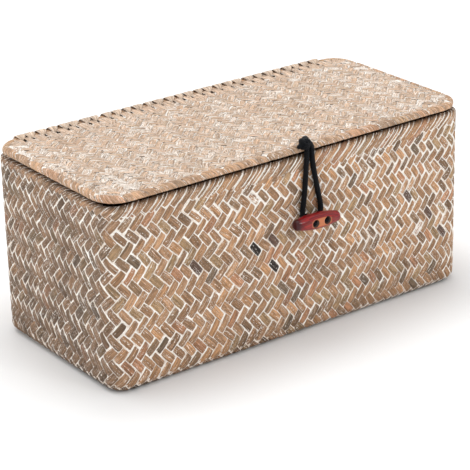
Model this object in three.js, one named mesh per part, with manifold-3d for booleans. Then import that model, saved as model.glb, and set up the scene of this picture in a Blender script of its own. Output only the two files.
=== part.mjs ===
// Plaited leaf box with a laced lid, closed by a cord loop over a turned wooden toggle.
// Millimetres. +Z is up, X runs along the length, the front faces -Y, and the origin lies
// on the floor under the middle of the base.
import * as THREE from 'three';
import Module from 'manifold-3d';
import { mergeVertices } from 'three/addons/utils/BufferGeometryUtils.js';

const wasm = await Module();
wasm.setup();

// Driving sizes of the box and its plait
const boxLength = 300;
const boxWidth = 140;
const rimHeight = 130;
const bodyCornerRadius = 14;
const bodyBottomRadius = 7;
const lidCornerRadius = 18;
const layer = 1.4;
const seatGap = 0.3;
const overrun = 2;
const cornerSteps = 6;
const ballDetail = 1;
const halfWidth = boxWidth / 2;
const wallDepth = 3 * layer + 2 * seatGap;

// Cane hoops, and the rolls of plait folded over them
const rimRodRadius = 1.2;
const lidRodRadius = 1.45;
const rimRollRadius = rimRodRadius + seatGap + layer;
const lidRollRadius = lidRodRadius + seatGap + layer;
const rimFoldDepth = 12;
const lidFoldDepth = 12;
const foldLean = 3.6;
const foldTurn = THREE.MathUtils.degToRad(20);
const rodSides = 8;
const arcSteps = 4;

// Places of the two rolls, as [distance out from the wall's outer face, height]
const rimRollOut = -rimRollRadius;
const rimRollHeight = rimHeight - rimRollRadius;
const lidRollOut = -lidRollRadius;
const lidRollHeight = rimHeight + seatGap + lidRollRadius;
const lidTop = lidRollHeight + lidRollRadius;

// Lacing of the hinge: one strand wound round the lid's back roll and through the back wall
const laceRadius = 1;
const laceSides = 6;
const laceLoops = 24;
const laceArcSteps = 6;
const laceNeighbours = 6;
const laceClearance = 0.45;
const laceLoopRadius = lidRollRadius + laceClearance + laceRadius;
const laceAxisY = halfWidth - lidRollRadius;
const laceSpan = boxLength - 2 * lidCornerRadius;
const lacePitch = laceSpan / laceLoops;
const laceTuckDrop = 10;
const laceTuckBow = 1.5;
const laceTuckBend = 0.5;
const laceSeatRoom = laceLoopRadius + laceRadius + laceClearance;

// Cord loop, its knots and the hole that it is tied through
const cordRadius = 1.8;
const cordSides = 8;
const cordHoleRadius = 2.2;
const knotRadius = 5.3;
const stopperRadius = 3.8;
const stopperStrand = 1.45;
const knotTilts = [[0, 0], [90, 36], [90, -60]];
const knotSides = 7;
const knotSteps = 12;
const stopperSides = 6;
const stopperSteps = 10;
const anchorX = 14;
const anchorInset = 10.4;
const anchorBend = 2.4;
const anchorSteps = 14;
const knotX = 4.6;
const knotOut = 2.6;
const knotRise = 3.2;
const strandLeftX = 6.9;
const strandRightX = 11.1;
const strandTop = 134.3;
const tailLength = 3.2;
const tailRadius = 1.44;
const tailSteps = 4;

// Toggle and the thread that holds it
const toggleLength = 38;
const toggleRadius = 5.6;
const toggleEndRadius = 3.9;
const toggleEndRound = 2.6;
const toggleFacet = 4.7;
const toggleBarShift = 1.1;
const toggleTilt = THREE.MathUtils.degToRad(3);
const toggleStandOff = 6.3;
const toggleX = 7.9;
const toggleZ = 86.8;
const toggleHoleSpacing = 9.9;
const toggleHoleRadius = 1.7;
const counterboreRadius = 2.6;
const counterboreDepth = 3.6;
const toggleSides = 20;
const toggleHoleSides = 12;
const counterboreSides = 16;
const threadRadius = 0.9;
const threadBend = 1.2;
const threadSteps = 20;
const stemRadius = 1.2;
const stemHoleRadius = 1.7;
const threadKnotRadius = 3.2;
const threadKnotSides = 5;
const beadRadius = 2;

// Materials, one for each finish
const leaf = new THREE.MeshStandardMaterial({ color: 0xc39a76, roughness: 0.75, metalness: 0 });
const leafInside = new THREE.MeshStandardMaterial({ color: 0xb08a68, roughness: 0.8, metalness: 0 });
const cane = new THREE.MeshStandardMaterial({ color: 0xc9a877, roughness: 0.6, metalness: 0 });
const lace = new THREE.MeshStandardMaterial({ color: 0xb48e6c, roughness: 0.75, metalness: 0 });
const blackCord = new THREE.MeshStandardMaterial({ color: 0x15171c, roughness: 0.6, metalness: 0 });
const redWood = new THREE.MeshStandardMaterial({ color: 0xa01f1c, roughness: 0.3, metalness: 0 });

// Outlines of the body and the lid, seen from above
const bodyOutline = { length: boxLength, width: boxWidth, radius: bodyCornerRadius };
const lidOutline = { length: boxLength, width: boxWidth, radius: lidCornerRadius };

// One ring of points round an outline, moved out by a distance, at a height
function ringPoints(outline, out, height) {
  const radius = outline.radius + out;
  const cornerX = outline.length / 2 - outline.radius;
  const cornerY = outline.width / 2 - outline.radius;
  const points = [];
  for (let corner = 0; corner < 4; corner++) {
    const sideX = corner === 0 || corner === 3 ? 1 : -1;
    const sideY = corner < 2 ? 1 : -1;
    for (let step = 0; step <= cornerSteps; step++) {
      const angle = (corner + step / cornerSteps) * Math.PI / 2;
      points.push([
        sideX * cornerX + radius * Math.cos(angle),
        sideY * cornerY + radius * Math.sin(angle),
        height,
      ]);
    }
  }
  return points;
}

// Rings joined into one closed skin: end to end when hooped, otherwise with a lid on each end
function skinRings(rings, hooped) {
  const count = rings[0].length;
  const positions = rings.flat();
  const index = [];
  const last = hooped ? rings.length : rings.length - 1;
  for (let ring = 0; ring < last; ring++) {
    const next = (ring + 1) % rings.length;
    for (let point = 0; point < count; point++) {
      const a = ring * count + point;
      const b = ring * count + (point + 1) % count;
      const c = next * count + point;
      const d = next * count + (point + 1) % count;
      index.push(a, b, d, a, d, c);
    }
  }
  if (!hooped) {
    for (const [ring, turn] of [[0, true], [rings.length - 1, false]]) {
      const middle = positions.length;
      const sum = rings[ring].reduce((total, p) => total.map((value, axis) => value + p[axis]), [0, 0, 0]);
      positions.push(sum.map((value) => value / count));
      for (let point = 0; point < count; point++) {
        const a = ring * count + point;
        const b = ring * count + (point + 1) % count;
        index.push(...(turn ? [middle, b, a] : [middle, a, b]));
      }
    }
  }
  const geometry = new THREE.BufferGeometry();
  geometry.setAttribute('position', new THREE.Float32BufferAttribute(positions.flat(), 3));
  geometry.setIndex(index);
  return faceOut(geometry);
}

// Turns a closed skin's faces outwards, by the sign of the volume that they enclose
function faceOut(geometry) {
  const position = geometry.attributes.position;
  const index = geometry.index.array;
  const corners = [new THREE.Vector3(), new THREE.Vector3(), new THREE.Vector3()];
  let volume = 0;
  for (let face = 0; face < index.length; face += 3) {
    corners.forEach((corner, k) => corner.fromBufferAttribute(position, index[face + k]));
    volume += corners[0].dot(corners[1].cross(corners[2]));
  }
  if (volume < 0) {
    for (let face = 0; face < index.length; face += 3) {
      [index[face], index[face + 1]] = [index[face + 1], index[face]];
    }
  }
  return geometry;
}

// A profile of lines and arcs, given as [distance out, height], carried round an outline
function sweepRound(outline, path) {
  return skinRings(path.getPoints(arcSteps).map((p) => ringPoints(outline, p.x, p.y)), false);
}

// A tube of round section through points that are close together, with flat ends
function tubeThrough(points, radius, sides) {
  const path = points.map((p) => new THREE.Vector3(...p));
  const normal = new THREE.Vector3(1, 0, 0);
  const rings = path.map((point, k) => {
    const before = path[Math.max(k - 1, 0)];
    const after = path[Math.min(k + 1, path.length - 1)];
    const along = after.clone().sub(before).normalize();
    normal.addScaledVector(along, -normal.dot(along)).normalize();
    const across = along.clone().cross(normal);
    return Array.from({ length: sides }, (unused, side) => {
      const angle = 2 * Math.PI * side / sides;
      return point.clone().addScaledVector(normal, radius * Math.cos(angle))
        .addScaledVector(across, radius * Math.sin(angle)).toArray();
    });
  });
  return skinRings(rings, false);
}

// A tube of round section along a smooth curve through the points
function cordAlong(points, radius, steps) {
  const section = Array.from({ length: cordSides }, (unused, side) => {
    const angle = 2 * Math.PI * side / cordSides;
    return new THREE.Vector2(radius * Math.cos(angle), radius * Math.sin(angle));
  });
  const curve = new THREE.CatmullRomCurve3(points.map((p) => new THREE.Vector3(...p)), false, 'centripetal');
  return new THREE.ExtrudeGeometry(new THREE.Shape(section), { steps, extrudePath: curve });
}

// Solids for cutting and joining, and back again
function toSolid(geometry) {
  const bare = geometry.clone();
  bare.deleteAttribute('normal');
  bare.deleteAttribute('uv');
  const merged = mergeVertices(bare);
  return new wasm.Manifold(new wasm.Mesh({
    numProp: 3,
    vertProperties: new Float32Array(merged.attributes.position.array),
    triVerts: new Uint32Array(merged.index.array),
  }));
}

function toGeometry(solid) {
  const mesh = solid.getMesh();
  const geometry = new THREE.BufferGeometry();
  geometry.setAttribute('position', new THREE.Float32BufferAttribute(mesh.vertProperties, 3));
  geometry.setIndex(Array.from(mesh.triVerts));
  return geometry;
}

function joined(geometries) {
  return toGeometry(geometries.map(toSolid).reduce((whole, next) => whole.add(next)));
}

function cut(geometry, cutters) {
  return toGeometry(cutters.map(toSolid).reduce((rest, next) => rest.subtract(next), toSolid(geometry)));
}

function block(fromX, toX, fromY, toY, fromZ, toZ) {
  const geometry = new THREE.BoxGeometry(toX - fromX, toY - fromY, toZ - fromZ);
  return geometry.translate((fromX + toX) / 2, (fromY + toY) / 2, (fromZ + toZ) / 2);
}

// A round bar along Y, between two places
function barAlongY(radius, x, fromY, toY, z, sides = toggleSides) {
  const geometry = new THREE.CylinderGeometry(radius, radius, toY - fromY, sides);
  return geometry.translate(x, (fromY + toY) / 2, z);
}

// A round bar along Z, between two heights
function barAlongZ(radius, x, y, fromZ, toZ, sides = cordSides) {
  const geometry = new THREE.CylinderGeometry(radius, radius, toZ - fromZ, sides).rotateX(Math.PI / 2);
  return geometry.translate(x, y, (fromZ + toZ) / 2);
}

// A pulled-tight knot: three crossing turns of cord round a core
function knotParts(radius, strandRadius, centre, sides, steps) {
  const turnRadius = radius - strandRadius;
  const core = new THREE.IcosahedronGeometry(turnRadius, ballDetail).translate(...centre);
  const turns = knotTilts.map((tilts) => {
    const [tiltX, tiltZ] = tilts.map((angle) => THREE.MathUtils.degToRad(angle));
    const turn = new THREE.TorusGeometry(turnRadius, strandRadius, sides, steps);
    return turn.rotateX(tiltX).rotateZ(tiltZ).translate(...centre);
  });
  return [core, ...turns];
}

// Shares of one pitch that the lacing has moved along by at each of the points of a loop
const laceAdvanceShares = [0, 0.06, 0.09, 0.12, 0.155, 0.19, 0.22, 0.25, 0.31, 0.4, 0.47, 0.54, 0.62, 0.8];
const laceTopShare = 0.31;
const laceWallShares = [0.44, 0.6];
const laceStart = -laceSpan / 2;

// Points of one turn of lacing: up inside, over the lid's roll, down the back, under the rim's roll
function laceLoop(startX) {
  const points = [];
  const arcs = [[lidRollHeight, Math.PI], [rimRollHeight, 0]];
  for (const [height, fromAngle] of arcs) {
    if (fromAngle !== 0) points.push([laceAxisY - laceLoopRadius, rimRollHeight]);
    const bends = fromAngle === 0 ? laceArcSteps - 1 : laceArcSteps;
    for (let step = 0; step <= bends; step++) {
      const angle = fromAngle - step * Math.PI / laceArcSteps;
      points.push([laceAxisY + laceLoopRadius * Math.cos(angle), height + laceLoopRadius * Math.sin(angle)]);
    }
  }
  return points.map(([y, z], k) => [startX + lacePitch * laceAdvanceShares[k], y, z]);
}

// The strand's end, tucked back against the fold inside the rim
function laceTuck(x, fromHeight) {
  const wall = halfWidth - wallDepth - seatGap;
  const out = wall - 2 * laceRadius;
  const bow = out - laceTuckBow;
  const height = rimRollHeight - laceTuckDrop;
  return [
    [x, wall, height],
    [x, out, height],
    [x, bow + laceTuckBend, height + laceTuckBend],
    [x, bow, height + laceTuckBow],
    [x, bow, (height + laceTuckBow + fromHeight) / 2],
  ];
}

function lacePoints() {
  const loops = Array.from({ length: laceLoops }, (unused, k) => laceLoop(laceStart + k * lacePitch));
  const lastLoop = loops[laceLoops - 1];
  const last = lastLoop[lastLoop.length - 1];
  const finish = laceTuck(last[0] + laceRadius, last[2]).reverse();
  return [...laceTuck(laceStart, rimRollHeight), ...loops.flat(), ...finish];
}

// Least gap between parts of the lacing that aren't neighbours along the strand
function leastGap(points, radius, apart) {
  let least = Infinity;
  points.forEach((p, i) => points.slice(i + apart).forEach((q) => {
    least = Math.min(least, Math.hypot(p[0] - q[0], p[1] - q[1], p[2] - q[2]));
  }));
  return least - 2 * radius;
}

// Windows for the lacing in the lid's back edge: all but the roll itself
function lidWindows() {
  return Array.from({ length: laceLoops }, (unused, k) => {
    const from = laceStart + k * lacePitch - laceRadius - laceClearance;
    const to = laceStart + (k + laceTopShare) * lacePitch + laceRadius + laceClearance;
    const window = block(from, to, laceAxisY - laceSeatRoom, laceAxisY,
      lidRollHeight - lidRollRadius - overrun, lidTop + overrun);
    const roll = new THREE.CylinderGeometry(lidRollRadius, lidRollRadius, to - from + overrun, toggleSides);
    roll.rotateZ(Math.PI / 2).translate((from + to) / 2, laceAxisY, lidRollHeight);
    return toGeometry(toSolid(window).subtract(toSolid(roll)));
  });
}

// Holes for the lacing through the back wall, under the rim's roll
function wallHoles() {
  const room = laceRadius + seatGap;
  return Array.from({ length: laceLoops }, (unused, k) => {
    const [fromX, toX] = laceWallShares.map((share) => laceStart + (k + share) * lacePitch);
    return block(fromX - room, toX + room, halfWidth - rimRollRadius * 2 - overrun, halfWidth + overrun,
      rimRollHeight - laceLoopRadius - room - seatGap, rimRollHeight - rimRodRadius - seatGap);
  });
}

const stemHole = barAlongY(stemHoleRadius, toggleX, -halfWidth - overrun, -halfWidth + 3 * layer + overrun,
  toggleZ);

// Outer shell: floor, walls, and the rim folded over its hoop and down inside the lining
function bodyWeave() {
  const foldOut = -wallDepth;
  const foldFoot = rimRollHeight - rimFoldDepth;
  const inner = bodyBottomRadius - layer;
  const path = new THREE.Path();
  path.moveTo(-bodyBottomRadius, 0);
  path.absarc(-bodyBottomRadius, bodyBottomRadius, bodyBottomRadius, -Math.PI / 2, 0, false);
  path.lineTo(0, rimRollHeight);
  path.absarc(rimRollOut, rimRollHeight, rimRollRadius, 0, Math.PI, false);
  path.lineTo(foldOut, rimRollHeight - foldLean);
  path.lineTo(foldOut, foldFoot);
  path.lineTo(foldOut + layer, foldFoot);
  path.lineTo(foldOut + layer, rimRollHeight - foldLean - seatGap);
  path.absarc(rimRollOut, rimRollHeight, rimRollRadius - layer, Math.PI, 0, true);
  path.lineTo(-layer, bodyBottomRadius);
  path.absarc(-bodyBottomRadius, bodyBottomRadius, inner, 0, -Math.PI / 2, true);
  return cut(sweepRound(bodyOutline, path), [...wallHoles(), stemHole]);
}

// Lining: a second plaited basket that stands inside the shell, under the rim's fold
function bodyLining() {
  const outer = -layer - seatGap;
  const radius = bodyBottomRadius + outer;
  const top = rimRollHeight - rimRodRadius - seatGap;
  const path = new THREE.Path();
  path.moveTo(-bodyBottomRadius, -outer);
  path.absarc(-bodyBottomRadius, bodyBottomRadius, radius, -Math.PI / 2, 0, false);
  path.lineTo(outer, top);
  path.lineTo(outer - layer, top);
  path.lineTo(outer - layer, bodyBottomRadius);
  path.absarc(-bodyBottomRadius, bodyBottomRadius, radius - layer, 0, -Math.PI / 2, true);
  return cut(sweepRound(bodyOutline, path), [...wallHoles(), stemHole]);
}

// A cane hoop bent round the outline inside a roll
function hoop(outline, out, height, radius) {
  const points = Array.from({ length: rodSides }, (unused, side) => {
    const angle = 2 * Math.PI * side / rodSides;
    return ringPoints(outline, out + radius * Math.cos(angle), height + radius * Math.sin(angle));
  });
  return skinRings(points, true);
}

const liningTop = lidTop - layer - seatGap;
const liningFoot = liningTop - layer;
const foldTop = liningFoot - seatGap;
const anchorY = -halfWidth + anchorInset;

// Lid: the top plait, rolled round its hoop and tucked back under the lining
function lidWeave() {
  const middle = -lidCornerRadius + overrun;
  const end = lidRollOut - lidFoldDepth;
  const innerRadius = lidRollRadius - layer;
  const leave = -Math.PI / 2 - foldTurn;
  const leaveSlope = Math.tan(foldTurn);
  const outerLeave = lidRollHeight - lidRollRadius * Math.cos(foldTurn);
  const innerLeave = lidRollHeight - innerRadius * Math.cos(foldTurn);
  const path = new THREE.Path();
  path.moveTo(middle, lidTop);
  path.absarc(lidRollOut, lidRollHeight, lidRollRadius, Math.PI / 2, leave, true);
  path.lineTo(lidRollOut - lidRollRadius * Math.sin(foldTurn) - (foldTop - layer - outerLeave) / leaveSlope,
    foldTop - layer);
  path.lineTo(end, foldTop - layer);
  path.lineTo(end, foldTop);
  path.lineTo(lidRollOut - innerRadius * Math.sin(foldTurn) - (foldTop - innerLeave) / leaveSlope, foldTop);
  path.absarc(lidRollOut, lidRollHeight, innerRadius, leave, Math.PI / 2, false);
  path.lineTo(middle, lidTop - layer);
  const hole = barAlongZ(cordHoleRadius, anchorX, anchorY, rimHeight, lidTop + overrun);
  return cut(sweepRound(lidOutline, path), [...lidWindows(), hole]);
}

// Lid lining: the under plait, held at its edge between the top plait and the tucked fold
function lidLining() {
  const out = -laceSeatRoom - lidRollRadius - seatGap;
  const path = new THREE.Path();
  path.moveTo(out, liningTop);
  path.lineTo(out, liningFoot);
  const rings = path.getPoints().map((p) => ringPoints(lidOutline, p.x, p.y));
  const hole = barAlongZ(cordHoleRadius, anchorX, anchorY, rimHeight, lidTop + overrun);
  return cut(skinRings(rings, false), [hole]);
}

// Knot on the lid's front edge, with its short end, the tops of the two strands, and the cord
// that runs back over the roll and down through the lid
function lidKnot() {
  const centre = [knotX, -halfWidth - knotOut, lidTop + knotRise];
  const strandY = -halfWidth - seatGap - cordRadius;
  const stubTop = centre[2];
  const stubs = [strandLeftX, strandRightX].map((x) => (
    barAlongZ(cordRadius, x, strandY, strandTop + seatGap, stubTop)));
  const over = lidTop + anchorBend;
  const anchor = cordAlong([
    centre,
    [(knotX + anchorX) / 2, (centre[1] + anchorY - anchorBend) / 2, over],
    [anchorX, anchorY - anchorBend, over],
    [anchorX, anchorY - anchorBend * (1 - Math.SQRT1_2), lidTop + anchorBend * Math.SQRT1_2],
    [anchorX, anchorY, lidTop],
    [anchorX, anchorY, (lidTop + foldTop) / 2],
    [anchorX, anchorY, foldTop - layer + seatGap],
  ], cordRadius, anchorSteps);
  const tailFrom = centre[0] - knotRadius + cordRadius;
  const tail = cordAlong([
    centre,
    [tailFrom, centre[1], centre[2] - cordRadius / 2],
    [tailFrom - tailLength, centre[1], centre[2] - cordRadius],
  ], tailRadius, tailSteps);
  const bridge = new THREE.IcosahedronGeometry(knotRadius - cordRadius, ballDetail)
    .translate((strandLeftX + strandRightX) / 2 - cordRadius / 2, strandY, centre[2]);
  const turns = knotParts(knotRadius, cordRadius, centre, knotSides, knotSteps);
  return joined([...turns, ...stubs, bridge, anchor, tail]);
}

// Stopper knot under the lid, pulled up against the tucked fold
function underKnot() {
  const foot = foldTop - layer;
  const centre = [anchorX, anchorY, foot - seatGap - stopperRadius];
  const stub = barAlongZ(cordRadius, anchorX, anchorY, centre[2], foot);
  return joined([...knotParts(stopperRadius, stopperStrand, centre, stopperSides, stopperSteps), stub]);
}

// Cord loop, from the knot down the front, under the toggle's stem and up to the knot again
const loopRoute = [
  [6.9, -72.1, 134.3], [6.8, -72.1, 128.4], [6.2, -72.1, 120.9], [5.5, -72.1, 112.5], [4.7, -72.1, 104],
  [3.7, -72.1, 96.5], [2.9, -72.1, 92.3], [2.7, -72.1, 89], [3.5, -72.1, 86.8], [5.1, -72.1, 84.8],
  [7.6, -72.1, 83.4], [10.6, -72.1, 83], [13.6, -72.1, 83.5], [16.1, -72.1, 85.1], [17.8, -72.1, 87.4],
  [18.4, -72.1, 90.3], [18.1, -72.1, 93.7], [16.9, -72.1, 99.3], [15.1, -72.1, 107.8], [13.3, -72.1, 116.2],
  [11.9, -72.1, 124.2], [11.3, -72.1, 129.8], [11.1, -72.1, 134.3],
];
const loopSteps = 46;

// Toggle: a turned wooden bar with rounded ends, planed flat in front, with two counterbored holes. It
// hangs with one end a little lower, and its holes aren't quite in its middle.
const toggleAxisOut = toggleStandOff + toggleRadius;
const toggleAxisY = -halfWidth - toggleAxisOut;
const toggleHolesX = [toggleX - toggleHoleSpacing / 2, toggleX + toggleHoleSpacing / 2];
const toggleBarX = toggleX - toggleBarShift;

function toggleButton() {
  const half = toggleLength / 2;
  const capRadius = toggleEndRadius - toggleEndRound;
  const capFrom = half - toggleEndRound;
  const profile = new THREE.Path();
  profile.moveTo(0, -half);
  profile.lineTo(capRadius, -half);
  profile.absarc(capRadius, -capFrom, toggleEndRound, -Math.PI / 2, 0, false);
  profile.quadraticCurveTo(toggleRadius * 2 - toggleEndRadius, 0, toggleEndRadius, capFrom);
  profile.absarc(capRadius, capFrom, toggleEndRound, 0, Math.PI / 2, false);
  profile.lineTo(0, half);
  const bar = new THREE.LatheGeometry(profile.getPoints(arcSteps), toggleSides);
  bar.rotateZ(-Math.PI / 2).rotateY(toggleTilt).translate(toggleBarX, toggleAxisY, toggleZ);
  const front = toggleAxisY - toggleFacet;
  const facet = block(toggleBarX - half - overrun, toggleBarX + half + overrun, front - toggleRadius, front,
    toggleZ - toggleRadius - overrun, toggleZ + toggleRadius + overrun);
  const holes = toggleHolesX.flatMap((x) => [
    barAlongY(toggleHoleRadius, x, toggleAxisY - toggleRadius, toggleAxisY + toggleRadius + overrun, toggleZ,
      toggleHoleSides),
    barAlongY(counterboreRadius, x, front - overrun, front + counterboreDepth, toggleZ, counterboreSides),
  ]);
  return cut(bar, [facet, ...holes]);
}

// Thread: a stem through the wall that forks to the two holes, with a bead of thread in each
const wallInside = -halfWidth + 2 * layer + seatGap;

function toggleThread() {
  const front = toggleAxisY - toggleFacet;
  const beadY = front + counterboreDepth - seatGap - beadRadius;
  const forkY = -halfWidth - 2 * seatGap - 2 * cordRadius - threadRadius;
  const stem = barAlongY(stemRadius, toggleX, forkY - threadRadius, wallInside + seatGap, toggleZ, cordSides);
  const legs = toggleHolesX.map((x) => {
    const side = Math.sign(x - toggleX);
    const corner = threadBend * (1 - Math.SQRT1_2);
    return cordAlong([
      [toggleX, forkY, toggleZ],
      [(toggleX + x) / 2, forkY, toggleZ],
      [x - side * threadBend, forkY, toggleZ],
      [x - side * corner, forkY - corner, toggleZ],
      [x, forkY - threadBend, toggleZ],
      [x, (toggleAxisY + beadY) / 2, toggleZ],
      [x, beadY, toggleZ],
    ], threadRadius, threadSteps);
  });
  const bead = new THREE.IcosahedronGeometry(beadRadius, ballDetail).translate(0, beadY, toggleZ);
  const beads = toggleHolesX.map((x) => bead.clone().translate(x, 0, 0));
  return joined([stem, ...legs, ...beads]);
}

// Knot that holds the thread inside the wall
function threadKnot() {
  const face = wallInside + seatGap;
  const centre = [toggleX, face + threadKnotRadius, toggleZ];
  const stub = barAlongY(stemRadius, toggleX, face + seatGap, centre[1], toggleZ, cordSides);
  return joined([...knotParts(threadKnotRadius, threadRadius, centre, threadKnotSides, stopperSteps), stub]);
}

function piece(name, geometry, material) {
  geometry.computeVertexNormals();
  const mesh = new THREE.Mesh(geometry, material);
  mesh.name = name;
  return mesh;
}

const lacing = lacePoints();
const lacingGap = leastGap(lacing, laceRadius, laceNeighbours);
console.log(`hinge lacing: least gap to itself ${lacingGap.toFixed(2)} mm`);

const body = new THREE.Group();
body.add(
  piece('body_weave', bodyWeave(), leaf),
  piece('body_lining', bodyLining(), leafInside),
  piece('rim_rod', hoop(bodyOutline, rimRollOut, rimRollHeight, rimRodRadius), cane),
  piece('hinge_lacing', tubeThrough(lacing, laceRadius, laceSides), lace),
);

const lid = new THREE.Group();
lid.add(
  piece('lid_weave', lidWeave(), leaf),
  piece('lid_lining', lidLining(), leafInside),
  piece('lid_rod', hoop(lidOutline, lidRollOut, lidRollHeight, lidRodRadius), cane),
  piece('lid_knot', lidKnot(), blackCord),
  piece('under_knot', underKnot(), blackCord),
);

const closure = new THREE.Group();
closure.add(
  piece('cord_loop', cordAlong(loopRoute, cordRadius, loopSteps), blackCord),
  piece('toggle_button', toggleButton(), redWood),
  piece('toggle_thread', toggleThread(), blackCord),
  piece('thread_knot', threadKnot(), blackCord),
);

const box = new THREE.Group();
box.add(body, lid, closure);

export default box;
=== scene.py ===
"""A plaited leaf box with a laced lid, closed by a cord loop over a red wooden toggle.

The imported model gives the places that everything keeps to. This script lays the leaf strips of the
plait over them, winds the hinge, ties the cord and lacquers the toggle. Shapes are worked out in
millimetres and turned into metres when a mesh is made.
"""
import math

import bpy
import numpy as np
from mathutils import Matrix, Vector


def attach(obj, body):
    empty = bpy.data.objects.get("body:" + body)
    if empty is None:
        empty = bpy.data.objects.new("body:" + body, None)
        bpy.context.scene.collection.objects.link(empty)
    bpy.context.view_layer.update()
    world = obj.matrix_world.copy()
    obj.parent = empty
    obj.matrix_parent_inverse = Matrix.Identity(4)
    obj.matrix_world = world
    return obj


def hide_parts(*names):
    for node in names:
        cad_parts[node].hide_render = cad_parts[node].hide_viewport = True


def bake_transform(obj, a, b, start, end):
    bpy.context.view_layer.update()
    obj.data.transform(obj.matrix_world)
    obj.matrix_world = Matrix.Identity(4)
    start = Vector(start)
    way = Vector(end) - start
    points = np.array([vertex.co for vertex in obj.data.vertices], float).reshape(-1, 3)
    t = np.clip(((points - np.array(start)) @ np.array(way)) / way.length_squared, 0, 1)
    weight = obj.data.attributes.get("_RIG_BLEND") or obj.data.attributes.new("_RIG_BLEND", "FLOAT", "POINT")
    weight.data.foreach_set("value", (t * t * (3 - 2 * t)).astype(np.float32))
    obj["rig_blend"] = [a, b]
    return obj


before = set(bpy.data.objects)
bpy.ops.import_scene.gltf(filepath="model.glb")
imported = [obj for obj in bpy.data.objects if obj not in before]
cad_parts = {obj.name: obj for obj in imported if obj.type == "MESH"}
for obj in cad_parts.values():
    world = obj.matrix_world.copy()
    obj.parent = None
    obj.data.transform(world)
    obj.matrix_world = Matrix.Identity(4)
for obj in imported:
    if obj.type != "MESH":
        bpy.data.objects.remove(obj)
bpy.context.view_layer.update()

metre = 0.001
chance = np.random.default_rng(41)


# Camera. It stands above the box's near left corner, with a long lens, and leans a little to one
# side, as the photograph's own horizon does.

camera_turn = math.radians(-36.216)
camera_rise = math.radians(22.803)
camera_lean = math.radians(-1.412)
camera_distance = 1.3956
camera_lens = 152.13
camera_target = Vector((-0.00084, 0, 0.05186))

away = Vector((
    math.sin(camera_turn) * math.cos(camera_rise),
    -math.cos(camera_turn) * math.cos(camera_rise),
    math.sin(camera_rise),
))
level = Vector((0, 0, 1)).cross(away).normalized()
upright = away.cross(level)
right = math.cos(camera_lean) * level + math.sin(camera_lean) * upright
upward = math.cos(camera_lean) * upright - math.sin(camera_lean) * level

camera = bpy.data.objects.new("camera", bpy.data.cameras.new("camera"))
camera.data.lens = camera_lens
camera.data.clip_end = 20
camera.matrix_world = (
    Matrix.Translation(camera_target + away * camera_distance)
    @ Matrix((right, upward, away)).transposed().to_4x4()
)
bpy.context.collection.objects.link(camera)
bpy.context.scene.camera = camera


# Body. Split leaf strips are plaited on the slant, over two and under two, round the box without a
# seam and across its bottom. White wash is rubbed into the gaps, so each strip shows as a row of
# domed brown blocks on a pale ground.

box_length, box_width, rim_height = 300, 140, 130
body_corner = 14
foot_bend = 7
foot_rise = 0.3
leaf_sheet = 1.4
ground_sunk = 0.4
rim_roll = 2.9
fold_in = 4.8
fold_lean = 3.6
fold_foot = 115.1
bottom_reach = 12.5

strip_pitch = 5.87
cell = strip_pitch * math.sqrt(2)
float_length = 2 * strip_pitch - 0.1
float_width = strip_pitch - 0.02
body_columns = 116
float_crown = 0.62
float_waist = 0.1
corner_steps = 7
# Places on the body are [arc length round it, height]. A smear's third number is its reach.
band_foot = 121
band_feet = [(0, 124.5), (110, 120.5), (195, 119.5), (272, 122), (410, 121), (700, 122), (726, 126),
             (836, 126)]
band_lean = math.radians(48)
band_width = 5.55
# How dark the painted shade on the rim's roll is, under the lid's edge.
rim_painted_shade = 0.6
smears = [(81, 108, 8), (107, 112, 7), (130, 117, 7), (175, 114, 9), (205, 117, 8), (234, 86, 8),
          (241, 47, 6), (218, 39, 5), (8, 47, 6), (-8, 37, 6)]
dark_floats = [(101.5, 65.6), (116.4, 51.9)]
brown_floats = [(236.5, 70), (251.7, 56.1), (266.3, 43), (115.8, 67.4), (53, 65)]


def linear(red, green, blue):
    """A colour given as it looks, each part from 0 to 255, as the amounts of light it stands for: each
    share of 255 plus 0.055, over 1.055, to the power 2.4, or in the darkest the share over 12.92."""
    share = np.array([red, green, blue]) / 255
    return np.where(share <= 0.04045, share / 12.92, ((share + 0.055) / 1.055) ** 2.4)


def rounded(length, width, radius):
    """A rounded rectangle by arc length, anticlockwise from the front left corner's end. A point is a
    place on the core rectangle, which stands still at the corners, plus the radius along the way out,
    which turns there."""
    side_x, side_y, bend = length / 2 - radius, width / 2 - radius, math.pi * radius / 2
    return {
        "radius": radius,
        "marks": np.concatenate([[0], np.cumsum([2 * side_x, bend, 2 * side_y, bend] * 2)]),
        "core_x": side_x * np.array([-1, 1, 1, 1, 1, -1, -1, -1, -1]),
        "core_y": side_y * np.array([-1, -1, -1, 1, 1, 1, 1, -1, -1]),
        "turn": math.pi / 2 * np.array([-1, -1, 0, 0, 1, 1, 2, 2, 3]),
    }


def around(outline, s, out):
    """x and y at the arc lengths s round an outline, moved out from it."""
    s = np.mod(s, outline["marks"][-1])
    x, y, turn = (np.interp(s, outline["marks"], outline[key]) for key in ("core_x", "core_y", "turn"))
    reach = outline["radius"] + out
    return x + reach * np.cos(turn), y + reach * np.sin(turn)


def arc(out, height, radius, start, end, steps=12):
    """Points of an arc in a wall's section, between two angles in degrees from straight out."""
    angle = np.radians(np.linspace(start, end, steps + 1))
    return np.stack([out + radius * np.cos(angle), height + radius * np.sin(angle)], axis=1)


def section(*runs, zero=0):
    """A wall's section, as [distance out, height] points in one line: its arc length, less zero, its
    places, and the way out of the surface, which is the line's own direction turned clockwise."""
    points = np.concatenate([np.atleast_2d(run) for run in runs]).astype(float)
    keep = np.concatenate([[True], np.hypot(*np.diff(points, axis=0).T) > 1e-6])
    points = points[keep]
    length = np.concatenate([[0], np.cumsum(np.hypot(*np.diff(points, axis=0).T))])
    along = np.gradient(points, length, axis=0)
    along /= np.hypot(*along.T)[:, None]
    return {"length": length - zero, "out": points[:, 0], "height": points[:, 1],
            "way_out": along[:, 1], "way_up": -along[:, 0]}


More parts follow.
